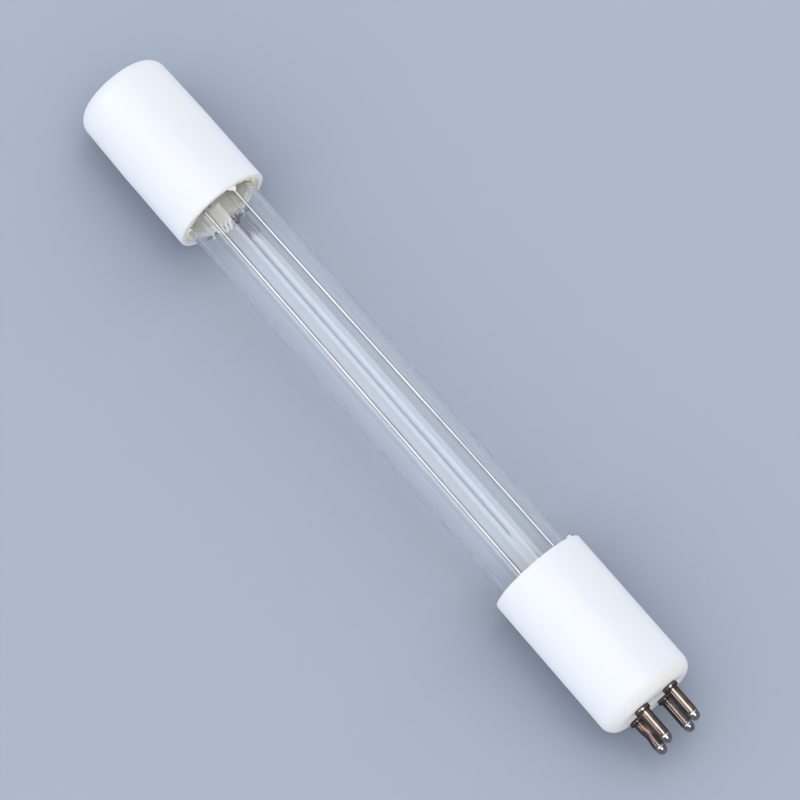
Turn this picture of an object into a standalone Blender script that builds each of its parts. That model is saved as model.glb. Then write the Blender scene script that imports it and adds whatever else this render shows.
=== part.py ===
# Low pressure mercury lamp with four pins at one end.
# A clear quartz tube with a pinch seal and a coiled filament at each end sits
# in two ceramic caps. Two bare wires bring the far filament back to the pins.
# Metres, +Z up. The lamp lies along X with its pins at +X.

import bpy
import bmesh
from math import cos, exp, pi, radians, sin
from mathutils import Matrix, Vector

mm = 0.001

# Whole lamp
cap_to_cap = 150.8 * mm
pin_reach = 8.0 * mm

# Ceramic caps
far_cap_length = 30.9 * mm
base_cap_length = 31.3 * mm
cap_wall = 1.26 * mm
far_end_taper = 0.30 * mm
base_end_swell = 0.08 * mm
far_end_wall = 3.0 * mm
base_end_wall = 3.5 * mm
far_edge_round = 2.8 * mm
base_edge_round = 2.6 * mm
rim_edge_round = 0.35 * mm
bore_corner_round = 1.2 * mm
cap_sides = 44

# Quartz tube
tube_radius = 7.5 * mm
tube_wall = 1.0 * mm
tube_sides = 36
shoulder_length = 5.5 * mm
pinch_length = 10.5 * mm
pinch_inset = 1.3 * mm
pinch_half_thickness = 1.25 * mm
pinch_rib = 0.45 * mm
pinch_rib_width = 1.1 * mm
far_room = 6.7 * mm
base_room = 6.6 * mm
stub_radius = 1.5 * mm
stub_bore_radius = 0.55 * mm
stub_length = 2.6 * mm

# Foils and wires
foil_spacing = 6.0 * mm
foil_width = 2.4 * mm
foil_thickness = 0.10 * mm
foil_length = 6.5 * mm
lead_radius = 0.30 * mm
lead_overlap = 1.6 * mm
return_wire_radius = 0.25 * mm
far_wire_angles = {"left": radians(15.7), "right": radians(-33.7)}
base_wire_angles = {"left": radians(24.9), "right": radians(-33.7)}

# Filaments
far_lead_reach = 13.6 * mm
base_lead_reach = 10.4 * mm
far_filament_shift = -0.9 * mm
leg_length = 0.9 * mm
leg_tail = 1.4 * mm
filament_wire_radius = 0.16 * mm
coil_radius = 0.84 * mm
coil_turns = 6
coil_length = 5.2 * mm

# Contact pins
pin_pitch_y = 6.5 * mm
pin_pitch_z = 7.9 * mm
pin_wall = 0.54 * mm
flange_ledge = 0.43 * mm
flange_thickness = 0.65 * mm
flange_round = 0.15 * mm
shoulder_round = 0.20 * mm
nub_step = 0.26 * mm
nub_round = 0.42 * mm
nub_length = 1.45 * mm
solder_height = 0.45 * mm
flare_length = 0.6 * mm
pin_sides = 18
dent_depth = 0.42 * mm
dent_place = 0.56
dent_length = 1.3 * mm

# Cement and mercury
far_cement_recess = 0.5 * mm
base_cement_recess = 0.6 * mm
cement_length = 13.5 * mm
cement_lip = 0.35 * mm
mercury_radius = 0.60 * mm
mercury_inset = 4.0 * mm

# Clearances
seat_gap = 0.30 * mm
close_gap = 0.12 * mm
wire_gap = 0.20 * mm
pin_wire_gap = 0.25 * mm

# Sizes across the lamp, worked out from the sizes above
tube_bore_radius = tube_radius - tube_wall
cap_bore_radius = tube_radius + 2 * (return_wire_radius + wire_gap)
wire_run_radius = (tube_radius + cap_bore_radius) / 2
rim_radius = cap_bore_radius + cap_wall
far_end_radius = rim_radius - far_end_taper
base_end_radius = rim_radius + base_end_swell
axis_height = max(base_end_radius, rim_radius) * cos(pi / cap_sides)
pinch_half_width = tube_radius - pinch_inset
hook_spacing = coil_length + 2 * leg_length
pin_bore_radius = lead_radius + pin_wire_gap
pin_radius = pin_bore_radius + pin_wall
flange_radius = pin_radius + flange_ledge
nub_radius = pin_radius - nub_step

# Places along X, worked out from the sizes above
overall_length = cap_to_cap + pin_reach
far_end_x = -overall_length / 2
base_face_x = far_end_x + cap_to_cap
far_rim_x = far_end_x + far_cap_length
base_rim_x = base_face_x - base_cap_length
far_pinch_end_x = far_end_x + far_end_wall + far_room
base_pinch_end_x = base_face_x - base_end_wall - base_room


class End:
    """One end of the tube. Distances run outwards from the middle of the lamp."""

    def __init__(self, name, pinch_end_x, outward, lead_reach, filament_shift=0.0):
        self.name = name
        self.out = outward
        self.pinch_end = pinch_end_x
        self.pinch_root = pinch_end_x - outward * pinch_length
        self.shoulder = self.pinch_root - outward * shoulder_length
        self.filament = self.pinch_root - outward * lead_reach
        self.filament_y = filament_shift
        self.foil_middle = (self.pinch_root + self.pinch_end) / 2


far_end = End("far", far_pinch_end_x, -1, far_lead_reach, far_filament_shift)
base_end = End("base", base_pinch_end_x, 1, base_lead_reach)


def clear_scene():
    for ob in list(bpy.data.objects):
        bpy.data.objects.remove(ob, do_unlink=True)


def make_collection(name):
    group = bpy.data.collections.new(name)
    bpy.context.scene.collection.children.link(group)
    return group


def make_material(name, color, roughness, metallic=0.0, transmission=0.0):
    mat = bpy.data.materials.new(name)
    mat.use_nodes = True
    shader = mat.node_tree.nodes["Principled BSDF"]
    shader.inputs["Base Color"].default_value = (*color, 1.0)
    shader.inputs["Roughness"].default_value = roughness
    shader.inputs["Metallic"].default_value = metallic
    shader.inputs["Transmission Weight"].default_value = transmission
    return mat


def put(ob, mat=None, group=None):
    """Hang an object on the lamp's axis, in its collection, with its material."""
    (group or lamp_parts).objects.link(ob)
    ob.parent = lamp_axis
    if mat:
        ob.data.materials.clear()
        ob.data.materials.append(mat)
    return ob


def smooth(ob, angle=35):
    ob.data.shade_smooth()
    ob.data.set_sharp_from_angle(angle=radians(angle))


def arc(center_r, center_z, radius, start, stop, steps):
    """Points of an arc in a turned profile, from start to stop in degrees."""
    points = []
    for i in range(steps + 1):
        a = radians(start + (stop - start) * i / steps)
        points.append((center_r + radius * cos(a), center_z + radius * sin(a)))
    return points


def turned(name, profile, sides, closed=False):
    """A profile of (radius, height) turned round local Z, which then lies along X."""
    half_side = pi / sides
    mesh = bpy.data.meshes.new(name)
    verts = [(r * cos(half_side), r * sin(half_side), z) for r, z in profile]
    edges = [(i, i + 1) for i in range(len(verts) - 1)]
    if closed:
        edges.append((len(verts) - 1, 0))
    mesh.from_pydata(verts, edges, [])
    ob = bpy.data.objects.new(name, mesh)
    screw = ob.modifiers.new("Turn", "SCREW")
    screw.axis = "Z"
    screw.steps = sides
    screw.render_steps = sides
    screw.use_merge_vertices = True
    screw.merge_threshold = 0.000001
    ob.rotation_euler = (0.0, pi / 2, 0.0)
    return ob


def apply_modifiers(ob):
    """Replace an object's mesh by what its modifiers make of it."""
    bpy.context.view_layer.update()
    evaluated = ob.evaluated_get(bpy.context.evaluated_depsgraph_get())
    mesh = bpy.data.meshes.new_from_object(evaluated)
    ob.modifiers.clear()
    ob.data = mesh


def cut(ob, tools):
    for tool in tools:
        boolean = ob.modifiers.new("Cut " + tool.name, "BOOLEAN")
        boolean.operation = "DIFFERENCE"
        boolean.solver = "EXACT"
        boolean.object = tool


def make_cutter(ob):
    put(ob, group=cutters)
    ob.hide_render = True
    ob.display_type = "WIRE"
    return ob


def leave_collections(ob):
    for group in list(ob.users_collection):
        group.objects.unlink(ob)


def cylinder_cutter(name, radius, x0, x1, y, z, sides=16):
    bpy.ops.mesh.primitive_cylinder_add(vertices=sides, radius=radius, depth=abs(x1 - x0))
    ob = bpy.context.object
    leave_collections(ob)
    ob.name = name
    ob.location = ((x0 + x1) / 2, y, z)
    ob.rotation_euler = (0.0, pi / 2, 0.0)
    return make_cutter(ob)


def box_cutter(name, size, location, turn=0.0):
    bpy.ops.mesh.primitive_cube_add(size=1.0)
    ob = bpy.context.object
    leave_collections(ob)
    ob.name = name
    ob.data.transform(Matrix.Diagonal((*size, 1.0)))
    ob.location = location
    ob.rotation_euler = (turn, 0.0, 0.0)
    return make_cutter(ob)


def wire(name, points, radius, mat, sides=8):
    """A round wire along the given points, with flat closed ends."""
    data = bpy.data.curves.new(name, "CURVE")
    data.dimensions = "3D"
    data.bevel_depth = radius
    data.bevel_resolution = (sides - 4) // 2
    data.use_fill_caps = True
    spline = data.splines.new("POLY")
    spline.points.add(len(points) - 1)
    for spot, p in zip(spline.points, points):
        spot.co = (*p, 1.0)
    return put(bpy.data.objects.new(name, data), mat)


def bend(start, start_pull, stop, stop_pull, steps):
    """A smooth bend between two points that leaves and arrives along the pulls."""
    start, stop = Vector(start), Vector(stop)
    a = start + Vector(start_pull)
    b = stop - Vector(stop_pull)
    points = []
    for i in range(steps + 1):
        t = i / steps
        s = 1 - t
        points.append(start * s**3 + a * 3 * s * s * t + b * 3 * s * t * t + stop * t**3)
    return points


def on_wall(x, radius, angle):
    """A point beside the lamp's axis, at an angle from straight up towards +Y."""
    return Vector((x, radius * sin(angle), radius * cos(angle)))


# Caps

def far_cap():
    e, f, c = rim_edge_round, far_edge_round, bore_corner_round
    profile = [(0.0, far_end_wall)]
    profile += arc(cap_bore_radius - c, far_end_wall + c, c, -90, 0, 3)
    profile += arc(cap_bore_radius + e, far_cap_length - e, e, 180, 90, 2)
    profile += arc(rim_radius - e, far_cap_length - e, e, 90, 0, 2)
    profile += arc(far_end_radius - f, f, f, 0, -90, 5)
    profile += [(0.0, 0.0)]
    ob = turned("far_cap", profile, cap_sides)
    ob.location.x = far_end_x
    put(ob, ceramic)
    smooth(ob)


def pin_places():
    """Name and place of each pin round the axis. Upper pins take the return wires."""
    y, z = pin_pitch_y / 2, pin_pitch_z / 2
    return {
        "upper_left": (y, z),
        "upper_right": (-y, z),
        "lower_left": (y, -z),
        "lower_right": (-y, -z),
    }


def base_cap():
    e, f, c = rim_edge_round, base_edge_round, bore_corner_round
    profile = [(0.0, 0.0)]
    profile += arc(base_end_radius - f, -f, f, 90, 0, 5)
    profile += arc(rim_radius - e, -base_cap_length + e, e, 0, -90, 2)
    profile += arc(cap_bore_radius + e, -base_cap_length + e, e, -90, -180, 2)
    profile += arc(cap_bore_radius - c, -base_end_wall - c, c, 0, 90, 3)
    profile += [(0.0, -base_end_wall)]
    ob = turned("base_cap", profile, cap_sides)
    ob.location.x = base_face_x
    put(ob, ceramic)
    smooth(ob)
    holes = []
    for place, (y, z) in pin_places().items():
        inner = base_face_x - base_end_wall - seat_gap
        outer = base_face_x + seat_gap
        hole = cylinder_cutter("hole_" + place, pin_radius + close_gap, inner, outer, y, z, pin_sides)
        holes.append(hole)
    cut(ob, holes)


# Quartz tube

def pinch_mix(t):
    """How far the tube is pressed flat at t along the shoulder, 0 round, 1 flat."""
    return t * t * (3 - 2 * t)


def section(x, radius, mix, half_width, half_thickness, rib):
    """Ring of points between a round tube and a pinch with a rib along each edge."""
    ring = []
    power = 2 / (2 + 4 * mix)
    for i in range(tube_sides):
        a = 2 * pi * (i + 0.5) / tube_sides
        across = abs(cos(a)) ** power * (1 if cos(a) > 0 else -1)
        rise = abs(sin(a)) ** power * (1 if sin(a) > 0 else -1)
        y_flat = half_width * across
        edge = (abs(y_flat) - half_width + pinch_rib_width) / pinch_rib_width
        z_flat = (half_thickness + rib * exp(-edge * edge)) * rise
        y = radius * cos(a) * (1 - mix) + y_flat * mix
        z = radius * sin(a) * (1 - mix) + z_flat * mix
        ring.append((x, y, z))
    return ring


def loft(name, rings):
    """A closed solid through rings of equal count, given from -X to +X."""
    count = len(rings[0])
    mesh = bpy.data.meshes.new(name)
    bm = bmesh.new()
    rows = [[bm.verts.new(p) for p in ring] for ring in rings]
    for low, high in zip(rows, rows[1:]):
        for i in range(count):
            j = (i + 1) % count
            bm.faces.new((low[i], high[i], high[j], low[j]))
    bm.faces.new(rows[0])
    bm.faces.new(list(reversed(rows[-1])))
    bmesh.ops.recalc_face_normals(bm, faces=bm.faces)
    bm.to_mesh(mesh)
    bm.free()
    return bpy.data.objects.new(name, mesh)


def end_rings(end, radius, half_width, half_thickness, rib, reach, steps):
    """Rings from the shoulder outwards to the given reach along the pinch."""
    rings = []
    for i in range(steps + 1):
        t = i / steps
        x = end.shoulder + (end.pinch_root - end.shoulder) * t
        rings.append(section(x, radius, pinch_mix(t), half_width, half_thickness, rib))
    if reach:
        x = end.pinch_root + end.out * reach
        rings.append(section(x, radius, 1.0, half_width, half_thickness, rib))
    return rings


def hollow_rings(end, steps):
    """Rings of the bore. It follows the shoulder and closes before the pinch."""
    rings = []
    depth = shoulder_length - tube_wall
    for i in range(steps + 1):
        t = i / steps
        x = end.shoulder + end.out * depth * t
        width = pinch_half_width - tube_wall
        flat = pinch_half_thickness * 0.5
        rings.append(section(x, tube_bore_radius, pinch_mix(t), width, flat, 0.0))
    return rings


def foil_places():
    return {"left": foil_spacing / 2, "right": -foil_spacing / 2}


def lead_offset():
    """Height of a lead's axis over the foil that it is welded to."""
    return foil_thickness / 2 + close_gap / 2 + lead_radius


def foil_pockets(end):
    """The pocket that each foil and its two leads fill in the pinch."""
    tools = []
    half_foil = foil_length / 2
    for side, y in foil_places().items():
        name = end.name + "_" + side
        slot = (foil_length + 2 * close_gap, foil_width + 2 * close_gap, foil_thickness + 2 * close_gap)
        tools.append(box_cutter("slot_" + name, slot, (end.foil_middle, y, 0.0)))
        bore = lead_radius + close_gap
        inner_stop = end.foil_middle - end.out * (half_foil - lead_overlap - close_gap)
        outer_stop = end.foil_middle + end.out * (half_foil - lead_overlap - close_gap)
        inner_start = end.pinch_root - end.out * (tube_wall + shoulder_length / 2)
        outer_start = end.pinch_end + end.out * seat_gap
        z = lead_offset()
        tools.append(cylinder_cutter("bore_in_" + name, bore, inner_start, inner_stop, y, z, 12))
        tools.append(cylinder_cutter("bore_out_" + name, bore, outer_start, outer_stop, y, -z, 12))
    return tools


def quartz_tube():
    sizes = (pinch_half_width, pinch_half_thickness, pinch_rib, pinch_length)
    steps = 5
    far = end_rings(far_end, tube_radius, *sizes, steps)
    base = end_rings(base_end, tube_radius, *sizes, steps)
    body = put(loft("quartz_tube", list(reversed(far)) + base), quartz)
    hollow = loft("hollow", list(reversed(hollow_rings(far_end, steps))) + hollow_rings(base_end, steps))
    make_cutter(hollow)
    stub_start = far_end.pinch_end - far_end.out * stub_radius
    stub_stop = far_end.pinch_end + far_end.out * stub_length
    stub = cylinder_cutter("stub", stub_radius, stub_start, stub_stop, 0.0, 0.0, 16)
    join = body.modifiers.new("Join stub", "BOOLEAN")
    join.operation = "UNION"
    join.solver = "EXACT"
    join.object = stub
    bore_start = far_end.shoulder
    bore_stop = stub_stop + far_end.out * seat_gap
    bore = cylinder_cutter("stub_bore", stub_bore_radius, bore_start, bore_stop, 0.0, 0.0, 12)
    cut(body, [hollow, bore] + foil_pockets(far_end) + foil_pockets(base_end))
    smooth(body)


# Foils, leads and filaments

def foil(end, side, y):
    """A strip with feathered edges, drawn as its section and drawn out along X."""
    data = bpy.data.curves.new("foil_%s_%s" % (end.name, side), "CURVE")
    data.dimensions = "2D"
    data.fill_mode = "BOTH"
    data.extrude = foil_length / 2
    w, t = foil_width / 2, foil_thickness / 2
    outline = [(-w, 0.0), (-w * 0.6, -t), (w * 0.6, -t), (w, 0.0), (w * 0.6, t), (-w * 0.6, t)]
    spline = data.splines.new("POLY")
    spline.points.add(len(outline) - 1)
    spline.use_cyclic_u = True
    for spot, (a, b) in zip(spline.points, outline):
        spot.co = (b, a, 0.0, 1.0)
    ob = put(bpy.data.objects.new(data.name, data), molybdenum)
    ob.rotation_euler = (0.0, pi / 2, 0.0)
    ob.location = (end.foil_middle, y, 0.0)


def hook_radius():
    """Radius of the middle line of the hook that clamps a filament leg."""
    return filament_wire_radius + close_gap + lead_radius


def inner_lead(end, side, y):
    """From the foil along the tube to a hook round the filament's leg."""
    hook_y = end.filament_y + (hook_spacing / 2 if y > 0 else -hook_spacing / 2)
    start_x = end.foil_middle - end.out * (foil_length / 2 - lead_overlap)
    leave_x = end.pinch_root - end.out * shoulder_length / 2
    reach_x = end.filament + end.out * hook_radius() * 2
    z = lead_offset()
    ring = hook_radius()
    pull = abs(leave_x - reach_x) / 3
    way = Vector((-end.out * pull, 0.0, 0.0))
    points = [Vector((start_x, y, z))]
    points += bend((leave_x, y, z), way, (reach_x, hook_y, ring), way, 7)
    for i in range(10):
        a = pi / 2 + radians(215) * i / 9
        points.append(Vector((end.filament - end.out * ring * cos(a), hook_y, ring * sin(a))))
    wire("inner_lead_%s_%s" % (end.name, side), points, lead_radius, nickel_wire)


def filament(end):
    """A coil across the tube, with a straight leg through the hook at each end."""
    leg = hook_spacing / 2 + leg_tail
    half = coil_length / 2
    per_turn = 9
    count = coil_turns * per_turn
    points = [Vector((end.filament, end.filament_y - leg, 0.0))]
    for i in range(count + 1):
        a = 2 * pi * i / per_turn
        turns_from_end = min(i, count - i) / per_turn
        radius = coil_radius * min(1.0, turns_from_end * 2)
        y = end.filament_y - half + coil_length * i / count
        points.append(Vector((end.filament + radius * cos(a), y, radius * sin(a))))
    points.append(Vector((end.filament, end.filament_y + leg, 0.0)))
    wire("filament_" + end.name, points, filament_wire_radius, tungsten, 6)


def outer_lead_start(end, y):
    x = end.foil_middle + end.out * (foil_length / 2 - lead_overlap)
    return Vector((x, y, -lead_offset()))


def lead_to_pin(side, y):
    """From the base pinch down into a lower pin, up to its solder."""
    pin_y, pin_z = pin_places()["lower_" + side]
    start = outer_lead_start(base_end, y)
    leave = Vector((base_end.pinch_end, y, -lead_offset()))
    enter_x = base_face_x - base_end_wall - flare_length
    run = enter_x - leave.x
    points = [start]
    points += bend(leave, (run * 0.45, 0, 0), (enter_x, pin_y, pin_z), (run * 0.45, 0, 0), 10)
    points.append(Vector((wire_stop_x(), pin_y, pin_z)))
    wire("outer_lead_base_" + side, points, lead_radius, nickel_wire)


def splice_x():
    """Where a far lead and its return wire end, side by side behind the pinch."""
    return far_end_x + far_end_wall + seat_gap * 3


def far_outer_lead(side, y):
    start = outer_lead_start(far_end, y)
    points = [start, Vector((splice_x(), y, start.z))]
    wire("outer_lead_far_" + side, points, lead_radius, nickel_wire)


def wire_stop_x():
    return base_face_x + pin_reach - solder_height - nub_length


def return_wire(side, y):
    """From the far splice over the tube and along it, then into an upper pin."""
    splice_z = -lead_offset() + lead_radius + close_gap + return_wire_radius
    splice = Vector((splice_x(), y, splice_z))
    up = Vector((0.0, 0.0, 1.0))
    far_angle, base_angle = far_wire_angles[side], base_wire_angles[side]
    far_run = on_wall(far_end.shoulder, wire_run_radius, far_angle)
    far_rim = on_wall(far_rim_x, wire_run_radius, far_angle)
    base_rim = on_wall(base_rim_x, wire_run_radius, base_angle)
    base_run = on_wall(base_end.shoulder, wire_run_radius, base_angle)
    pin_y, pin_z = pin_places()["upper_" + side]
    enter = Vector((base_face_x - base_end_wall - flare_length, pin_y, pin_z))
    rise = far_run.x - splice.x
    drop = enter.x - base_run.x
    points = bend(splice, up * rise * 0.15, far_run, (rise * 0.24, 0, 0), 14)
    points += bend(far_rim, (far_cap_length / 2, 0, 0), base_rim, (base_cap_length / 2, 0, 0), 5)
    points += bend(base_run, (drop * 0.24, 0, 0), enter, (drop * 0.3, 0, 0), 12)
    points.append(Vector((wire_stop_x(), pin_y, pin_z)))
    wire("return_wire_" + side, points, return_wire_radius, nickel_wire)


# Pins

def contact_pin(place, y, z, dented):
    """A hollow pin like an eyelet: flared inside, flanged outside, drawn to a nub."""
    tip = pin_reach - solder_height
    shoulder = tip - nub_length
    flange_low = seat_gap
    flange_high = flange_low + flange_thickness
    inside = -base_end_wall - flare_length
    body_rings = 9 if dented else 1
    body = [shoulder - shoulder_round]
    for i in range(1, body_rings + 1):
        body.append(body[0] + (flange_high - body[0]) * i / body_rings)
    profile = [(pin_bore_radius, tip)]
    profile += arc(nub_radius - nub_round, tip - nub_round, nub_round, 60, 0, 2)
    profile += [(nub_radius, shoulder + flange_round / 2), (pin_radius - shoulder_round, shoulder)]
    profile += [(pin_radius, level) for level in body]
    profile += [(flange_radius - flange_round, flange_high), (flange_radius, flange_high - flange_round)]
    profile += [(flange_radius, flange_low), (pin_radius, flange_low)]
    profile += [(pin_radius, -base_end_wall - seat_gap / 2), (flange_radius, inside)]
    profile += [(pin_radius, inside - flange_round), (pin_bore_radius, inside + flange_round)]
    profile += [(pin_bore_radius, level) for level in reversed(body)]
    ob = turned("contact_pin_" + place, profile, pin_sides, closed=True)
    ob.location = (base_face_x, y, z)
    put(ob, plated_brass)
    if dented:
        apply_modifiers(ob)
        dent(ob, flange_high + (shoulder - flange_high) * dent_place)
    smooth(ob)


def dent(ob, level):
    """Push one side of a pin's wall in, as a crimping tool leaves it."""
    for v in ob.data.vertices:
        along = (v.co.z - level) / dent_length
        away = max(0.0, -v.co.y / pin_radius)
        v.co.y += dent_depth * exp(-along * along * 2) * away


def pin_solder(place, y, z):
    """A bead over the pin's tip with a stem in its bore, above the wire's end."""
    tip = pin_reach - solder_height
    stem_radius = pin_bore_radius - close_gap
    bead_radius = nub_radius - close_gap
    low = tip + close_gap
    high = pin_reach
    profile = [(0.0, high)]
    for i in range(1, 5):
        a = pi / 2 * i / 4
        profile.append((bead_radius * sin(a), low + (high - low) * cos(a)))
    profile += [(stem_radius, low), (stem_radius, tip - nub_length + close_gap)]
    profile += [(0.0, tip - nub_length + close_gap)]
    ob = turned("pin_solder_" + place, profile, 12)
    ob.location = (base_face_x, y, z)
    put(ob, solder)
    smooth(ob)


# Cement and mercury

def cement(end, rim_x, recess, wire_angles):
    """A ring of basing cement in the cap's mouth, with a groove for each wire."""
    inner = tube_radius + close_gap
    outer = cap_bore_radius - close_gap
    lip = cement_lip
    front, back = cement_length, 0.0
    if end.out < 0:
        profile = [(outer, front), (outer, back), (inner, back), (inner, front)]
        profile += [((inner + outer) / 2, front - lip)]
        start_x = rim_x - recess - cement_length
    else:
        profile = [(outer, front), (outer, back), ((inner + outer) / 2, back + lip)]
        profile += [(inner, back), (inner, front)]
        start_x = rim_x + recess
    ob = turned(end.name + "_cement", profile, cap_sides, closed=True)
    ob.location.x = start_x
    put(ob, cement_mat)
    smooth(ob)
    width = 2 * (return_wire_radius + wire_gap)
    groove_start = rim_x - end.out * recess
    groove_stop = rim_x + end.out * (recess + cement_length * 0.8)
    tools = []
    for side, angle in wire_angles.items():
        middle = on_wall((groove_start + groove_stop) / 2, (inner + outer) / 2, angle)
        size = (abs(groove_stop - groove_start), width, (outer - inner) * 2)
        name = "groove_%s_%s" % (end.name, side)
        tools.append(box_cutter(name, size, middle, -angle))
    cut(ob, tools)


def mercury_drop():
    bpy.ops.mesh.primitive_uv_sphere_add(segments=10, ring_count=6, radius=mercury_radius)
    ob = bpy.context.object
    leave_collections(ob)
    ob.name = "mercury_drop"
    ob.location = (far_rim_x - mercury_inset, 0.0, -tube_bore_radius + mercury_radius + close_gap)
    put(ob, mercury)
    ob.data.shade_smooth()


clear_scene()
lamp_parts = make_collection("uvc_germicidal_lamp_tube")
cutters = make_collection("cutters")
lamp_axis = bpy.data.objects.new("lamp_axis", None)
lamp_axis.location.z = axis_height
lamp_parts.objects.link(lamp_axis)

ceramic = make_material("ceramic", (0.87, 0.88, 0.90), 0.35)
quartz = make_material("quartz", (0.95, 0.96, 0.98), 0.02, transmission=1.0)
cement_mat = make_material("cement", (0.62, 0.58, 0.46), 0.85)
plated_brass = make_material("plated_brass", (0.36, 0.31, 0.27), 0.22, metallic=1.0)
nickel_wire = make_material("nickel_wire", (0.72, 0.70, 0.66), 0.20, metallic=1.0)
tungsten = make_material("coated_tungsten", (0.75, 0.74, 0.70), 0.70)
molybdenum = make_material("molybdenum", (0.45, 0.45, 0.47), 0.35, metallic=1.0)
solder = make_material("solder", (0.75, 0.74, 0.72), 0.18, metallic=1.0)
mercury = make_material("mercury", (0.78, 0.78, 0.80), 0.04, metallic=1.0)

far_cap()
base_cap()
quartz_tube()
for end in (far_end, base_end):
    filament(end)
    for side, y in foil_places().items():
        foil(end, side, y)
        inner_lead(end, side, y)
for side, y in foil_places().items():
    lead_to_pin(side, y)
    far_outer_lead(side, y)
    return_wire(side, y)
for place, (y, z) in pin_places().items():
    contact_pin(place, y, z, dented=place == "lower_right")
    pin_solder(place, y, z)
cement(far_end, far_rim_x, far_cement_recess, far_wire_angles)
cement(base_end, base_rim_x, base_cement_recess, base_wire_angles)
mercury_drop()
bpy.context.view_layer.update()
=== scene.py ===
import bmesh
import bpy
from math import acos, cos, exp, pi, radians, sin
from mathutils import Matrix, Vector, noise


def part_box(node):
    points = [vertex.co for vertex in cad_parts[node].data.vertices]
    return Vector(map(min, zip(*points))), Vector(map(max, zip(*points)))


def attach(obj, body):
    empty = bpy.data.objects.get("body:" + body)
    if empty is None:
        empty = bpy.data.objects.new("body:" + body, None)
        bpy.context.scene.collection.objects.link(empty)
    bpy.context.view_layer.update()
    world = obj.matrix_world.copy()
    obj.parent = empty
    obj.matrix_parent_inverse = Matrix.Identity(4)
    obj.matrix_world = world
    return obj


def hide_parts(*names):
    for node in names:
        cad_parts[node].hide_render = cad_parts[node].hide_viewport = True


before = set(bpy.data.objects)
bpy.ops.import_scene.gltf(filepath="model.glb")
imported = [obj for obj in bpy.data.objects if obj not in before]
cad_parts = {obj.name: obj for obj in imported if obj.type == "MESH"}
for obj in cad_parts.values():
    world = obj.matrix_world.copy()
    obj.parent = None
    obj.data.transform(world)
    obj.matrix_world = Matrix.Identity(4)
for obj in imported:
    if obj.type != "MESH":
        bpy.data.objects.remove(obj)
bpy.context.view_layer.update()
mm = 0.001


# Node trees: sums on a signal add Math nodes, any other node comes from Graph.add

class Signal:
    def __init__(self, graph, socket):
        self.graph = graph
        self.socket = socket

    def math(self, operation, *others):
        values = {i: value for i, value in enumerate((self,) + others)}
        return self.graph.add("ShaderNodeMath", values, {"operation": operation})["Value"]

    def remap(self, low, high, bottom=0.0, top=1.0, settings=None):
        # carries low to high over to bottom to top, and holds what lies beyond
        limits = {"Value": self, "From Min": low, "From Max": high, "To Min": bottom, "To Max": top}
        return self.graph.add("ShaderNodeMapRange", limits, settings)["Result"]

    def within(self, low, high, fade):
        # 1 between low and high, falling to 0 over the fade
        return self.remap(low - fade, low) * self.remap(high, high + fade, 1.0, 0.0)

    def mix(self, first, second):
        values = {"Factor_Float": self, "A_Color": first, "B_Color": second}
        return self.graph.add("ShaderNodeMix", values, {"data_type": "RGBA"})["Result_Color"]

    def feed(self, shader, key):
        self.graph.tree.links.new(self.socket, shader.inputs[key])

    def flipped(self, operation, first):
        return self.graph.add("ShaderNodeMath", {0: first, 1: self}, {"operation": operation})["Value"]

    def __add__(self, other):
        return self.math("ADD", other)

    def __mul__(self, other):
        return self.math("MULTIPLY", other)

    def __sub__(self, other):
        return self.math("SUBTRACT", other)

    def __truediv__(self, other):
        return self.math("DIVIDE", other)

    def __pow__(self, other):
        return self.math("POWER", other)

    def __rsub__(self, other):
        return self.flipped("SUBTRACT", other)

    def __rtruediv__(self, other):
        return self.flipped("DIVIDE", other)

    __radd__ = __add__
    __rmul__ = __mul__


class Graph:
    def __init__(self, tree):
        self.tree = tree

    def find(self, sockets, key):
        if isinstance(key, int):
            return sockets[key]
        for socket in sockets:
            if key == socket.identifier or (socket.enabled and key == socket.name):
                return socket
        raise KeyError("no input called %s" % key)

    def add(self, kind, values=None, settings=None):
        node = self.tree.nodes.new(kind)
        for name, value in (settings or {}).items():
            if name == "stops":
                self.setStops(node.color_ramp, value)
            else:
                setattr(node, name, value)
        for key, value in (values or {}).items():
            socket = self.find(node.inputs, key)
            if isinstance(value, Signal):
                self.tree.links.new(value.socket, socket)
            else:
                socket.default_value = value
        made = {}
        for socket in reversed(node.outputs):
            made[socket.identifier] = Signal(self, socket)
            if socket.enabled:
                made[socket.name] = Signal(self, socket)
        return made

    def setStops(self, ramp, stops):
        while len(ramp.elements) > 1:
            ramp.elements.remove(ramp.elements[-1])
        ramp.elements[0].position = stops[0][0]
        ramp.elements[0].color = stops[0][1]
        for place, color in stops[1:]:
            ramp.elements.new(place).color = color


# Materials

def newMaterial(name, **constants):
    mat = bpy.data.materials.new(name)
    mat.use_nodes = True
    graph = Graph(mat.node_tree)
    shader = mat.node_tree.nodes["Principled BSDF"]
    for key, value in constants.items():
        shader.inputs[socketNames[key]].default_value = value
    return mat, graph, shader


socketNames = {
    "color": "Base Color",
    "metallic": "Metallic",
    "roughness": "Roughness",
    "ior": "IOR",
    "transmission": "Transmission Weight",
    "specular": "Specular IOR Level",
    "sheen": "Sheen Weight",
    "sheenRoughness": "Sheen Roughness",
    "edgeTint": "Specular Tint",
}


def objectNoise(graph, scale, detail=3.0, roughness=0.5, stretch=(1.0, 1.0, 1.0)):
    place = graph.add("ShaderNodeTexCoord")["Object"]
    placed = graph.add("ShaderNodeMapping", {"Vector": place, "Scale": stretch})["Vector"]
    values = {"Vector": placed, "Scale": scale, "Detail": detail, "Roughness": roughness}
    return graph.add("ShaderNodeTexNoise", values)["Fac"]


def objectPlace(graph):
    return graph.add("ShaderNodeSeparateXYZ", {0: graph.add("ShaderNodeTexCoord")["Object"]})


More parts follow.
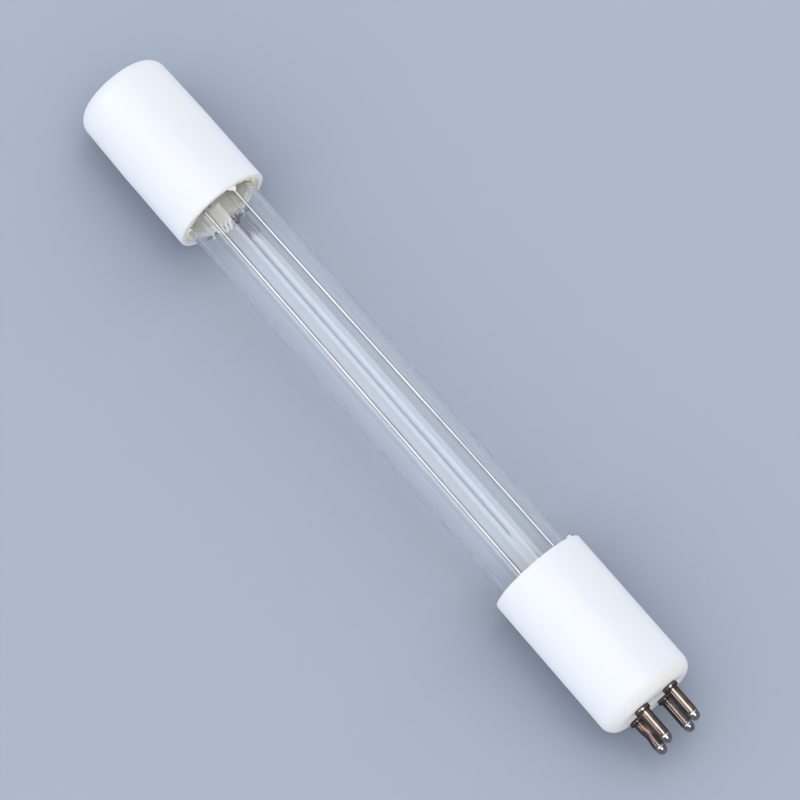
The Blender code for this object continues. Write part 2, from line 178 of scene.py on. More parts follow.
def bump(graph, shader, height, strength, distance):
    values = {"Height": height, "Strength": strength, "Distance": distance}
    graph.add("ShaderNodeBump", values)["Normal"].feed(shader, "Normal")


axisHeight = (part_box("base_cap")[0].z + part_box("base_cap")[1].z) / 2
farFaceX, farRimX = (corner.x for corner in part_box("far_cap"))
baseRimX, baseFaceX = (corner.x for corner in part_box("base_cap"))

ceramicLook = {
    "color": (0.862, 0.874, 0.930, 1.0),
    "worn": (0.834, 0.846, 0.900, 1.0),
    "specular": 0.30,
    "grain": 0.02 * mm,
    "smear": (0.85, 0.82, 0.78, 1.0),
    "smearReach": 1.1 * mm,
    "handled": (0.845, 0.823, 0.810, 1.0),
    "speck": (0.66, 0.67, 0.60, 1.0),
    "handledReach": 2.6 * mm,
}


def makeCeramic():
    s = ceramicLook
    mat, graph, shader = newMaterial("satinCeramic", specular=s["specular"])
    patches = objectNoise(graph, 90.0, 2.0).remap(0.42, 0.75, 0.0, 0.55)
    clean = patches.mix(s["color"], s["worn"])
    # wiped cement left along both rims
    x = objectPlace(graph)["X"]
    depth = (farRimX - x).math("MAXIMUM", x - baseRimX)
    near = (1.0 - depth / s["smearReach"]).math("MAXIMUM", 0.0)
    streaks = objectNoise(graph, 520.0, 4.0, 0.62)
    smear = (near * 0.45 + streaks).remap(0.74, 0.92, 0.0, 0.85)
    tone = smear.mix(clean, s["smear"])
    # the edge by the pins is rubbed and specked from handling
    end = 1.0 - (baseFaceX - x) / s["handledReach"]
    rubbed = (end + streaks * 0.5).remap(0.25, 0.95)
    tone = rubbed.mix(tone, s["handled"])
    dots = objectNoise(graph, 1500.0, 3.0, 0.6).remap(0.60, 0.70, 0.0, 0.8)
    (dots * rubbed).mix(tone, s["speck"]).feed(shader, "Base Color")
    grain = objectNoise(graph, 2600.0, 4.0, 0.6)
    (grain * 0.16 + 0.44).feed(shader, "Roughness")
    bump(graph, shader, grain, 0.25, s["grain"])
    return mat


quartzLook = {
    "color": (0.975, 0.985, 0.995, 1.0),
    "transmission": 0.985,
    "sheen": 0.08,
    "sheenRoughness": 0.30,
    "ior": 1.458,
    "roughness": 0.0,
}
# the grey patch in the photo by a filament, taken for a film on the glass
filmLook = {
    "color": (0.72, 0.73, 0.75, 1.0),
    "start": -44.8 * mm,
    "stop": -39.0 * mm,
    "right": -1.4 * mm,
    "left": 0.9 * mm,
    "fade": 0.35 * mm,
}


def makeQuartz():
    # shadow rays pass, so that the studio's light reaches what is behind the glass
    mat, graph, shader = newMaterial("clearQuartz", **quartzLook)
    s = filmLook
    place = objectPlace(graph)
    film = place["X"].within(s["start"], s["stop"], s["fade"])
    film = film * place["Y"].within(s["right"], s["left"], s["fade"])
    upper = place["Z"].math("GREATER_THAN", axisHeight)
    (film * upper).mix(quartzLook["color"], s["color"]).feed(shader, "Base Color")
    clear = graph.add("ShaderNodeBsdfTransparent")["BSDF"]
    ray = graph.add("ShaderNodeLightPath")["Is Shadow Ray"]
    glass = Signal(graph, shader.outputs["BSDF"])
    mixed = graph.add("ShaderNodeMixShader", {0: ray, 1: glass, 2: clear})["Shader"]
    graph.tree.links.new(mixed.socket, mat.node_tree.nodes["Material Output"].inputs["Surface"])
    return mat


cementLook = {
    "stops": (
        (0.28, (0.80, 0.70, 0.50, 1.0)),
        (0.42, (0.97, 0.89, 0.68, 1.0)),
        (0.56, (0.985, 0.95, 0.87, 1.0)),
    ),
    "wiped": (0.86, 0.84, 0.84, 1.0),
    "wipedFrom": 8.2 * mm,
    "wipedTo": 8.5 * mm,
    "grain": 0.12 * mm,
}


def makeCement():
    s = cementLook
    mat, graph, shader = newMaterial("bakedCement", roughness=0.9)
    cloud = objectNoise(graph, 260.0, 4.0, 0.6)
    speck = objectNoise(graph, 1500.0, 5.0, 0.65)
    values = {"Fac": cloud * 0.7 + speck * 0.3}
    tone = graph.add("ShaderNodeValToRGB", values, {"stops": s["stops"]})["Color"]
    # crumbs left on the rims themselves are wiped paler
    place = objectPlace(graph)
    rise = place["Z"] - axisHeight
    radius = (place["Y"] * place["Y"] + rise * rise).math("SQRT")
    wiped = radius.remap(s["wipedFrom"], s["wipedTo"])
    wiped.mix(tone, s["wiped"]).feed(shader, "Base Color")
    bump(graph, shader, speck + cloud * 0.5, 0.8, s["grain"])
    return mat


stainLimits = (0.38, 0.64)

# two tones, roughness, how far stains raise it, the stains' scale
metalLooks = {
    "drawnNickel": ((0.280, 0.287, 0.292, 1.0), (0.235, 0.240, 0.240, 1.0), 0.13, 0.08, 300.0),
    "heatedNickel": ((0.92, 0.90, 0.87, 1.0), (0.76, 0.73, 0.69, 1.0), 0.34, 0.12, 500.0),
    "bareTungsten": ((0.30, 0.30, 0.32, 1.0), (0.20, 0.20, 0.22, 1.0), 0.24, 0.10, 900.0),
    "brightSolder": ((0.40, 0.39, 0.38, 1.0), (0.22, 0.21, 0.20, 1.0), 0.15, 0.12, 900.0),
    "sealFoil": ((0.42, 0.42, 0.44, 1.0), (0.30, 0.30, 0.32, 1.0), 0.30, 0.10, 500.0),
}


def makeMetal(name, stretch=(1.0, 1.0, 1.0), metallic=1.0):
    first, second, roughness, spread, scale = metalLooks[name]
    mat, graph, shader = newMaterial(name, metallic=metallic)
    stain = objectNoise(graph, scale, 3.0, 0.55, stretch).remap(*stainLimits)
    stain.mix(first, second).feed(shader, "Base Color")
    (stain * spread + roughness).feed(shader, "Roughness")
    return mat


plateLook = {
    "dark": (0.130, 0.113, 0.105, 1.0),
    "bronze": (0.190, 0.150, 0.130, 1.0),
    "edgeTint": (0.30, 0.25, 0.22, 1.0),
    "tinned": (0.30, 0.29, 0.28, 1.0),
    "tinStart": 6.30 * mm,
    "tinWander": 1.2 * mm,
    "tinFade": (0.35 * mm, 0.75 * mm),
    "roughness": 0.11,
}
rubbedPlateLook = dict(plateLook, dark=(0.130, 0.106, 0.100, 1.0), bronze=(0.225, 0.125, 0.103, 1.0))


def makePlate(name, s):
    # tarnished plate, tinned over the nub where the wires are soldered in
    mat, graph, shader = newMaterial(name, metallic=1.0, edgeTint=s["edgeTint"])
    stain = objectNoise(graph, 420.0, 3.0, 0.55).remap(*stainLimits)
    plate = stain.mix(s["dark"], s["bronze"])
    start = baseFaceX + s["tinStart"]
    wet = objectNoise(graph, 900.0, 3.0) * s["tinWander"] + objectPlace(graph)["X"]
    tinned = wet.remap(*(start + fade for fade in s["tinFade"]), 0.0, 0.9)
    tinned.mix(plate, s["tinned"]).feed(shader, "Base Color")
    (stain * 0.08 + tinned * 0.06 + s["roughness"]).feed(shader, "Roughness")
    return mat


ceramic = makeCeramic()
quartz = makeQuartz()
bakedCement = makeCement()
pinPlate = makePlate("tarnishedPlate", plateLook)
rubbedPlate = makePlate("rubbedPlate", rubbedPlateLook)
wireMetal = makeMetal("drawnNickel", stretch=(0.2, 1.0, 1.0))
leadMetal = makeMetal("heatedNickel", metallic=0.3)
strandMetal = makeMetal("bareTungsten")
solderMetal = makeMetal("brightSolder")
foilMetal = makeMetal("sealFoil")
mercuryMetal = newMaterial("liquidMercury", metallic=1.0, roughness=0.03, color=(0.80, 0.80, 0.82, 1.0))[0]
emitterCoat = newMaterial("emitterPowder", roughness=0.85, color=(0.98, 0.97, 0.98, 1.0))[0]
print("materials made")


# Making and handing over pieces

root = bpy.context.scene.collection


def newObject(name, mesh):
    ob = bpy.data.objects.new(name, mesh)
    root.objects.link(ob)
    return ob


def finish(ob, angle, slotName, *nodes):
    # shading breaks at edges sharper than the angle
    ob.data.shade_smooth()
    ob.data.set_sharp_from_angle(angle=radians(angle))
    if nodes:
        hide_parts(*nodes)
    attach(ob, "root")


def putPiece(name, mesh, mat, angle, slotName, *nodes):
    mesh.materials.append(mat)
    finish(newObject(name, mesh), angle, slotName, *nodes)


def settle(ob, mat=None):
    # turns live modifiers into a plain mesh
    bpy.context.view_layer.update()
    evaluated = ob.evaluated_get(bpy.context.evaluated_depsgraph_get())
    mesh = bpy.data.meshes.new_from_object(evaluated)
    ob.modifiers.clear()
    ob.data = mesh
    if mat:
        mesh.materials.clear()
        mesh.materials.append(mat)


def combine(ob, operation, other):
    change = ob.modifiers.new("combine", "BOOLEAN")
    change.operation = operation
    change.solver = "EXACT"
    change.object = other


def toMesh(name, bm):
    mesh = bpy.data.meshes.new(name)
    bm.to_mesh(mesh)
    bm.free()
    return mesh


def turnRings(bm, profile, sides, center, closed=False):
    # a profile of (x, radius) turned round a line along X, a radius of 0 is a pole
    rows = []
    for x, r in profile:
        if r < 1e-7:
            rows.append([bm.verts.new((x, center.y, center.z))])
            continue
        ring = []
        for i in range(sides):
            a = 2 * pi * i / sides
            ring.append(bm.verts.new((x, center.y + r * sin(a), center.z + r * cos(a))))
        rows.append(ring)
    pairs = list(zip(rows, rows[1:]))
    if closed:
        pairs.append((rows[-1], rows[0]))
    for low, high in pairs:
        for i in range(sides):
            j = (i + 1) % sides
            corners = [row[k % len(row)] for row, k in ((low, i), (low, j), (high, j), (high, i))]
            bm.faces.new(list(dict.fromkeys(corners)))


def turned(name, profile, sides, center, closed=False):
    bm = bmesh.new()
    turnRings(bm, profile, sides, center, closed)
    bmesh.ops.recalc_face_normals(bm, faces=bm.faces)
    return toMesh(name, bm)


def arc(centerX, centerR, radius, start, stop, steps):
    # points of an arc, 0 degrees along the radius and 90 degrees along +X
    points = []
    for i in range(steps + 1):
        a = radians(start + (stop - start) * i / steps)
        points.append((centerX + radius * sin(a), centerR + radius * cos(a)))
    return points


def spread(start, stop, steps):
    # points between two profile points, without the ends
    return [tuple(a + (b - a) * i / steps for a, b in zip(start, stop)) for i in range(1, steps)]


def lineTo(profile, stop, steps):
    # carries a profile straight on to a point
    profile += spread(profile[-1], stop, steps) + [stop]


lampAxis = Vector((0.0, 0.0, axisHeight))


# Ceramic caps

capSizes = {
    "boreRadius": 8.40 * mm,
    "rimRound": 0.34 * mm,
    "boreRound": 0.30 * mm,
    "cornerRound": 1.2 * mm,
    "sides": 160,
    "unevenness": 0.035 * mm,
    "wearReach": 0.9 * mm,
}
farCapSizes = dict(
    capSizes,
    rimRadius=9.64 * mm,
    endRadius=9.33 * mm,
    endWall=3.0 * mm,
    edgeRound=2.8 * mm,
    faceRings=(3.0 * mm, 6.2 * mm),
    waist=14.0 * mm,
    waistDepth=0.05 * mm,
    wallRings=14,
    rimWear=0.16 * mm,
)
baseCapSizes = dict(
    capSizes,
    rimRadius=9.65 * mm,
    endRadius=9.72 * mm,
    endWall=3.5 * mm,
    edgeRound=2.6 * mm,
    faceRings=(3.2 * mm, 6.4 * mm),
    wallRings=22,
    rimWear=0.12 * mm,
    holeRadius=1.21 * mm,
    holeRound=0.25 * mm,
    drillReach=0.5 * mm,
)

pinPlaces = {
    "upper_left": (3.25 * mm, 3.95 * mm),
    "upper_right": (-3.25 * mm, 3.95 * mm),
    "lower_left": (3.25 * mm, -3.95 * mm),
    "lower_right": (-3.25 * mm, -3.95 * mm),
}


def roughen(mesh, sizes, rimX, out):
    # a pressed and fired cap is never quite round, and its rim is a little chipped
    for v in mesh.vertices:
        away = Vector((0.0, v.co.y, v.co.z - axisHeight))
        if away.length < 1e-6:
            continue
        v.co -= away.normalized() * sizes["unevenness"] * (0.5 + 0.5 * noise.noise(v.co * 160.0))
        near = abs(v.co.x - rimX) / sizes["wearReach"]
        if near < 1.0:
            chips = max(0.0, noise.noise(v.co * 900.0 + Vector((3.1, 7.7, 1.3))))
            v.co.x += out * sizes["rimWear"] * chips * (1.0 - near)


def capMesh(name, faceX, rimX, out, s):
    # a cup: closed face, wall, rim and bore, with out as the way from the rim to the face
    f, e, b, c = s["edgeRound"], s["rimRound"], s["boreRound"], s["cornerRound"]
    r, bore = s["rimRadius"], s["boreRadius"]
    profile = [(faceX, 0.0)] + [(faceX, ring) for ring in s["faceRings"]]
    profile += arc(faceX - out * f, s["endRadius"] - f, f, out * 90, 0, 14)
    if "waist" in s:
        lineTo(profile, (faceX - out * s["waist"], r - s["waistDepth"]), 8)
    profile += spread(profile[-1], (rimX + out * e, r), s["wallRings"])
    profile += arc(rimX + out * e, r - e, e, 0, -out * 90, 6)
    profile += arc(rimX + out * b, bore + b, b, -out * 90, -out * 180, 6)
    floorX = faceX - out * s["endWall"]
    profile += spread(profile[-1], (floorX - out * c, bore), 16)
    profile += arc(floorX - out * c, bore - c, c, 0, out * 90, 6)
    profile += [(floorX, 0.0)]
    mesh = turned(name, profile, s["sides"], lampAxis)
    roughen(mesh, s, rimX, out)
    return mesh


def makeFarCap():
    mesh = capMesh("farCap", farFaceX, farRimX, -1, farCapSizes)
    putPiece("farCap", mesh, ceramic, 50, "ceramic", "far_cap")


def makeBaseCap():
    s = baseCapSizes
    ob = newObject("baseCap", capMesh("baseCap", baseFaceX, baseRimX, 1, s))
    profile = drillProfile(baseFaceX - s["endWall"], baseFaceX, s)
    drills = []
    for y, z in pinPlaces.values():
        drills.append(newObject("drill", turned("drill", profile, 40, lampAxis + Vector((0, y, z)))))
        combine(ob, "DIFFERENCE", drills[-1])
    settle(ob, ceramic)
    for drill in drills:
        bpy.data.objects.remove(drill)
    finish(ob, 50, "ceramic", "base_cap")


def drillProfile(inner, outer, s):
    # a hole with a softened mouth
    reach, r, soft = s["drillReach"], s["holeRadius"], s["holeRound"]
    profile = [(inner - reach, 0.0), (inner - reach, r), (outer - soft, r)]
    profile += [(outer - soft * 0.3, r + soft * 0.3), (outer, r + soft), (outer + reach, r + soft)]
    profile += [(outer + reach, 0.0)]
    return profile


makeFarCap()
makeBaseCap()
print("caps made")


# Quartz tube: turned in full and then pressed flat at both ends by a node tree

tubeSizes = {
    "radius": 7.5 * mm,
    "wall": 1.0 * mm,
    "shoulder": 5.5 * mm,
    "pinch": 10.5 * mm,
    "halfWidth": 6.2 * mm,
    "halfThickness": 1.25 * mm,
    "rib": 0.45 * mm,
    "ribWidth": 1.1 * mm,
    "edge": 0.35 * mm,
    "boreEnd": ((0.6 * mm, 0.0), (0.5 * mm, 0.5), (0.25 * mm, 0.85)),
    "stubRadius": 1.5 * mm,
    "stubLength": 2.6 * mm,
    "stubTip": ((0.3 * mm, 0.7), (1.1 * mm, 1.0)),
    "stubRoot": ((1.2 * mm, 1.05), (1.8 * mm, 0.0)),
    "sides": 144,
    "unevenness": 0.0002,
    "unevenScale": (60.0, 70.0, 70.0),
}


def newTree(name, inputs):
    tree = bpy.data.node_groups.new(name, "GeometryNodeTree")
    tree.interface.new_socket("Geometry", in_out="INPUT", socket_type="NodeSocketGeometry")
    for title, value in inputs.items():
        kind = "NodeSocketInt" if isinstance(value, int) else "NodeSocketFloat"
        tree.interface.new_socket(title, in_out="INPUT", socket_type=kind)
    tree.interface.new_socket("Geometry", in_out="OUTPUT", socket_type="NodeSocketGeometry")
    graph = Graph(tree)
    return graph, graph.add("NodeGroupInput")


def closeTree(graph, geometry, mat):
    whole = graph.add("GeometryNodeRealizeInstances", {"Geometry": geometry})["Geometry"]
    painted = graph.add("GeometryNodeSetMaterial", {"Geometry": whole, "Material": mat})["Geometry"]
    graph.add("NodeGroupOutput", {0: painted})


def runTree(ob, graph, inputs, mat=None):
    live = ob.modifiers.new(graph.tree.name, "NODES")
    live.node_group = graph.tree
    for item in graph.tree.interface.items_tree:
        if item.in_out == "INPUT" and item.name in inputs:
            live[item.identifier] = inputs[item.name]
    settle(ob, mat)


def smoothStep(t):
    held = t.math("MAXIMUM", 0.0).math("MINIMUM", 1.0)
    return held * held * (3.0 - held * 2.0)


def makeFlattenTree(inputs):
    # presses a round tube flat towards both ends, with a rib along each edge
    graph, given = newTree("flattenEnds", inputs)
    place = graph.add("GeometryNodeInputPosition")["Position"]
    at = graph.add("ShaderNodeSeparateXYZ", {0: place})
    rise = at["Z"] - given["Axis Height"]
    radius = (at["Y"] * at["Y"] + rise * rise).math("SQRT").math("MAXIMUM", 1e-6)
    far = (given["Far Shoulder"] - at["X"]) / given["Shoulder Length"]
    base = (at["X"] - given["Base Shoulder"]) / given["Shoulder Length"]
    mix = smoothStep(far.math("MAXIMUM", base))
    power = 2.0 / (mix * 4.0 + 2.0)
    across = at["Y"] / radius
    upward = rise / radius
    flatY = across.math("ABSOLUTE") ** power * across.math("SIGN")
    flatZ = upward.math("ABSOLUTE") ** power * upward.math("SIGN")
    share = radius / given["Radius"]
    edge = (flatY.math("ABSOLUTE") - 1.0) * given["Half Width"] / given["Rib Width"] + 1.0
    ridge = given["Rib"] * (edge * edge * -1.0).math("EXPONENT")
    newY = at["Y"] * (1.0 - mix) + flatY * share * given["Half Width"] * mix
    thick = given["Half Thickness"] + ridge
    newZ = rise * (1.0 - mix) + flatZ * share * thick * mix
    values = {0: at["X"], 1: newY, 2: newZ + given["Axis Height"]}
    moved = graph.add("ShaderNodeCombineXYZ", values)["Vector"]
    values = {"Geometry": given["Geometry"], "Position": moved}
    pressed = graph.add("GeometryNodeSetPosition", values)["Geometry"]
    closeTree(graph, pressed, quartz)
    return graph


def tubeProfiles(start, stop, s):
    # outer wall with its ends, then the bore
    r, w, e = s["radius"], s["wall"], s["edge"]
    farShoulder = start + s["pinch"] + s["shoulder"]
    baseShoulder = stop - s["pinch"] - s["shoulder"]
    outer = [(start, 0.0), (start, r * 0.25), (start, r * 0.6), (start, r - e)]
    outer += [(start + e * 0.3, r - e * 0.3), (start + e, r)]
    lineTo(outer, (farShoulder, r), 26)
    lineTo(outer, (baseShoulder, r), 60)
    lineTo(outer, (stop - e, r), 26)
    outer += [(stop - e * 0.3, r - e * 0.3), (stop, r - e)]
    outer += [(stop, r * 0.6), (stop, r * 0.25), (stop, 0.0)]
    b = r - w
    depth = s["shoulder"] - w
    first, last = farShoulder - depth, baseShoulder + depth
    bore = [(first - step, b * share) for step, share in s["boreEnd"]] + [(first, b)]
    lineTo(bore, (farShoulder, b), 14)
    lineTo(bore, (baseShoulder, b), 60)
    lineTo(bore, (last, b), 14)
    bore += [(last + step, b * share) for step, share in reversed(s["boreEnd"])]
    return outer, bore, farShoulder, baseShoulder


def makeTube():
    s = tubeSizes
    low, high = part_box("quartz_tube")
    start, stop = low.x + s["stubLength"], high.x
    outer, bore, farShoulder, baseShoulder = tubeProfiles(start, stop, s)
    bm = bmesh.new()
    turnRings(bm, outer, s["sides"], lampAxis)
    bmesh.ops.recalc_face_normals(bm, faces=bm.faces)
    outside = set(bm.faces)
    turnRings(bm, bore, s["sides"], lampAxis)
    inside = [f for f in bm.faces if f not in outside]
    bmesh.ops.recalc_face_normals(bm, faces=inside)
    bmesh.ops.reverse_faces(bm, faces=inside)
    mesh = toMesh("quartzTube", bm)
    # off round by about a thousandth of a millimetre
    for v in mesh.vertices:
        away = Vector((0.0, v.co.y, v.co.z - axisHeight))
        spot = Vector([value * scale for value, scale in zip(v.co, s["unevenScale"])])
        v.co += away * (noise.noise(spot) * s["unevenness"])
    ob = newObject("quartzTube", mesh)
    inputs = {
        "Radius": s["radius"],
        "Half Width": s["halfWidth"],
        "Half Thickness": s["halfThickness"],
        "Rib": s["rib"],
        "Rib Width": s["ribWidth"],
        "Shoulder Length": s["shoulder"],
        "Far Shoulder": farShoulder,
        "Base Shoulder": baseShoulder,
        "Axis Height": axisHeight,
    }
    runTree(ob, makeFlattenTree(inputs), inputs)
    tip, r = start - s["stubLength"], s["stubRadius"]
    profile = [(tip, 0.0)] + [(tip + step, r * share) for step, share in s["stubTip"]]
    profile += [(start + step, r * share) for step, share in s["stubRoot"]]
    stub = newObject("stub", turned("stub", profile, 32, lampAxis))
    combine(ob, "UNION", stub)
    settle(ob, quartz)
    bpy.data.objects.remove(stub)
    finish(ob, 40, "quartz", "quartz_tube")


makeTube()
print("tube made")


# Wires: a tube swept along a path by a node tree

def evenPath(graph, given):
    path = graph.add("GeometryNodeMeshToCurve", {"Mesh": given["Geometry"]})["Curve"]
    values = {"Curve": path, "Count": given["Points"]}
    return graph.add("GeometryNodeResampleCurve", values)["Curve"]


def sweep(graph, curve, sides, radius):
    values = {"Resolution": sides, "Radius": radius}
    ring = graph.add("GeometryNodeCurvePrimitiveCircle", values)["Curve"]
    values = {"Curve": curve, "Profile Curve": ring, "Fill Caps": True}
    return graph.add("GeometryNodeCurveToMesh", values)["Mesh"]


def makeSweepTree(inputs):
    graph, given = newTree("sweepWire", inputs)
    closeTree(graph, sweep(graph, evenPath(graph, given), given["Sides"], given["Radius"]), wireMetal)
    return graph


def outward(ob):
    # a swept wall may come out inside out, so its volume tells which way it faces
    bm = bmesh.new()
    bm.from_mesh(ob.data)
    bmesh.ops.recalc_face_normals(bm, faces=bm.faces)
    if bm.calc_volume(signed=True) < 0:
        bmesh.ops.reverse_faces(bm, faces=bm.faces)
    bm.to_mesh(ob.data)
    bm.free()


def sweptPiece(name, points, graph, inputs, angle, slotName, *nodes, mat=None):
    mesh = bpy.data.meshes.new(name)
    mesh.from_pydata([tuple(p) for p in points], [(i, i + 1) for i in range(len(points) - 1)], [])
    ob = newObject(name, mesh)
    runTree(ob, graph, inputs, mat)
    outward(ob)
    finish(ob, angle, slotName, *nodes)


sweepInputs = {"Radius": 0.3 * mm, "Sides": 16, "Points": 90}
wireSweep = makeSweepTree(sweepInputs)


def wire(name, points, radius, count, node, mat=None):
    inputs = dict(sweepInputs, Radius=radius, Points=count)
    sweptPiece(name, points, wireSweep, inputs, 50, "nickel_wire", node, mat=mat)


def bend(start, startPull, stop, stopPull, steps):
    start, stop = Vector(start), Vector(stop)
    a, b = start + Vector(startPull), stop - Vector(stopPull)
    points = []
    for i in range(steps + 1):
        t = i / steps
        s = 1 - t
        points.append(start * s**3 + a * 3 * s * s * t + b * 3 * s * t * t + stop * t**3)
    return points


def onWall(x, angle):
    radius = wireSizes["runRadius"]
    return Vector((x, radius * sin(angle), axisHeight + radius * cos(angle)))


def onPinLine(corner, x):
    y, z = pinPlaces[corner]
    return Vector((x, y, axisHeight + z))


leadSizes = {
    "radius": 0.30 * mm,
    "foilSpacing": 6.0 * mm,
    "foilLength": 6.5 * mm,
    "overlap": 1.6 * mm,
    "offset": 0.41 * mm,
    "hookRing": 0.58 * mm,
    "hookSpacing": 7.0 * mm,
    "hookTurn": radians(215),
    "hookSteps": 24,
    "pinPull": 0.45,
    "reach": {"far": 13.6 * mm, "base": 10.4 * mm},
    "filamentShift": {"far": -0.9 * mm, "base": 0.0},
    "spliceInset": 0.9 * mm,
    "spliceGap": 0.12 * mm,
}

wireSizes = {
    "radius": 0.25 * mm,
    "runRadius": 7.95 * mm,
    "farAngles": {"left": radians(15.7), "right": radians(-33.7)},
    "baseAngles": {"left": radians(24.9), "right": radians(-33.7)},
    "capPull": 15.35 * mm,
    "splicePull": 0.15,
    "runPull": 0.24,
    "pinPull": 0.3,
    "flare": 0.6 * mm,
}

sideSigns = {"left": 1, "right": -1}
spliceX = farFaceX + farCapSizes["endWall"] + leadSizes["spliceInset"]
pinEntryX = baseFaceX - baseCapSizes["endWall"] - wireSizes["flare"]


def endPlaces(name):
    # where each end's pinch, shoulder and filament lie, worked out from the tube's solid
    s = leadSizes
    low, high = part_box("quartz_tube")
    out = -1 if name == "far" else 1
    pinchEnd = low.x + tubeSizes["stubLength"] if name == "far" else high.x
    pinchRoot = pinchEnd - out * tubeSizes["pinch"]
    return {
        "out": out,
        "pinchEnd": pinchEnd,
        "pinchRoot": pinchRoot,
        "shoulder": pinchRoot - out * tubeSizes["shoulder"],
        "filament": pinchRoot - out * s["reach"][name],
        "filamentY": s["filamentShift"][name],
        "foilMiddle": (pinchRoot + pinchEnd) / 2,
    }


ends = {"far": endPlaces("far"), "base": endPlaces("base")}


def makeInnerLeads():
    s = leadSizes
    ring, z = s["hookRing"], axisHeight + s["offset"]
    for name, end in ends.items():
        out = end["out"]
        startX = end["foilMiddle"] - out * (s["foilLength"] / 2 - s["overlap"])
        leaveX = end["pinchRoot"] - out * tubeSizes["shoulder"] / 2
        reachX = end["filament"] + out * ring * 2
        way = Vector((-out * (abs(leaveX - reachX) / 3), 0.0, 0.0))
        for side, sign in sideSigns.items():
            y = sign * s["foilSpacing"] / 2
            hookY = end["filamentY"] + sign * s["hookSpacing"] / 2
            points = [Vector((startX, y, z))]
            points += bend((leaveX, y, z), way, (reachX, hookY, axisHeight + ring), way, 24)
            # the end hooks round the coil's leg
            for i in range(s["hookSteps"] + 1):
                a = pi / 2 + s["hookTurn"] * i / s["hookSteps"]
                x = end["filament"] - out * ring * cos(a)
                points.append(Vector((x, hookY, axisHeight + ring * sin(a))))
            pieceName = "innerLead" + name.title() + side.title()
            wire(pieceName, points, s["radius"], 160, "inner_lead_%s_%s" % (name, side), leadMetal)


def makeOuterLeads():
    s = leadSizes
    z, reach = axisHeight - s["offset"], s["foilLength"] / 2 - s["overlap"]
    for side, sign in sideSigns.items():
        y = sign * s["foilSpacing"] / 2
        points = [Vector((ends["far"]["foilMiddle"] - reach, y, z)), Vector((spliceX, y, z))]
        wire("outerLeadFar" + side.title(), points, s["radius"], 24, "outer_lead_far_" + side)
        corner, node = "lower_" + side, "outer_lead_base_" + side
        leave = Vector((ends["base"]["pinchEnd"], y, z))
        way = ((pinEntryX - leave.x) * s["pinPull"], 0, 0)
        points = [Vector((ends["base"]["foilMiddle"] + reach, y, z))]
        points += bend(leave, way, onPinLine(corner, pinEntryX), way, 30)
        points.append(onPinLine(corner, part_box(node)[1].x))
        wire("outerLeadBase" + side.title(), points, s["radius"], 90, node)


def makeReturnWires():
    s = wireSizes
    lift = leadSizes["radius"] + leadSizes["spliceGap"] + s["radius"]
    for side, sign in sideSigns.items():
        farAngle, baseAngle = s["farAngles"][side], s["baseAngles"][side]
        corner, node = "upper_" + side, "return_wire_" + side
        spliceZ = axisHeight - leadSizes["offset"] + lift
        splice = Vector((spliceX, sign * leadSizes["foilSpacing"] / 2, spliceZ))
        farRun = onWall(ends["far"]["shoulder"], farAngle)
        baseRun = onWall(ends["base"]["shoulder"], baseAngle)
        enter = onPinLine(corner, pinEntryX)
        rise, drop = farRun.x - splice.x, enter.x - baseRun.x
        along = (s["capPull"], 0, 0)
        points = bend(splice, (0, 0, rise * s["splicePull"]), farRun, (rise * s["runPull"], 0, 0), 30)
        points += bend(onWall(farRimX, farAngle), along, onWall(baseRimX, baseAngle), along, 40)
        points += bend(baseRun, (drop * s["runPull"], 0, 0), enter, (drop * s["pinPull"], 0, 0), 30)
        points.append(onPinLine(corner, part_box(node)[1].x))
        wire("returnWire" + side.title(), points, s["radius"], 400, node)


makeInnerLeads()
makeOuterLeads()
makeReturnWires()
print("wires made")


# Filaments: a fine strand wound round a coiled path, and powder over part of it

filamentSizes = {
    "coilRadius": 0.84 * mm,
    "turns": 6,
    "turnSteps": 24,
    "length": 5.2 * mm,
    "tail": 4.9 * mm,
    "leadIn": 0.5 * mm,
    "windRadius": 0.10 * mm,
    "windPitch": 0.13 * mm,
    "strandRadius": 0.055 * mm,
    "coatRadius": 0.25 * mm,
    "coatStart": 0.03,
    "coatStop": 0.60,
    "coatLumps": 0.10 * mm,
}


def coilPath(end):
    s = filamentSizes
    half, middle, perTurn = s["length"] / 2, end["filamentY"], s["turnSteps"]
    steps = s["turns"] * perTurn
    points = [Vector((end["filament"], middle - s["tail"], axisHeight))]
    points.append(Vector((end["filament"], middle - half - s["leadIn"], axisHeight)))
    for i in range(steps + 1):
        a = 2 * pi * i / perTurn
        fromEnd = min(i, steps - i) / perTurn
        r = s["coilRadius"] * min(1.0, fromEnd * 2)
        y = middle - half + s["length"] * i / steps
        points.append(Vector((end["filament"] + r * cos(a), y, axisHeight + r * sin(a))))
    points.append(Vector((end["filament"], middle + half + s["leadIn"], axisHeight)))
    points.append(Vector((end["filament"], middle + s["tail"], axisHeight)))
    return points


def vectorMath(graph, operation, values):
    return graph.add("ShaderNodeVectorMath", values, {"operation": operation})["Vector"]


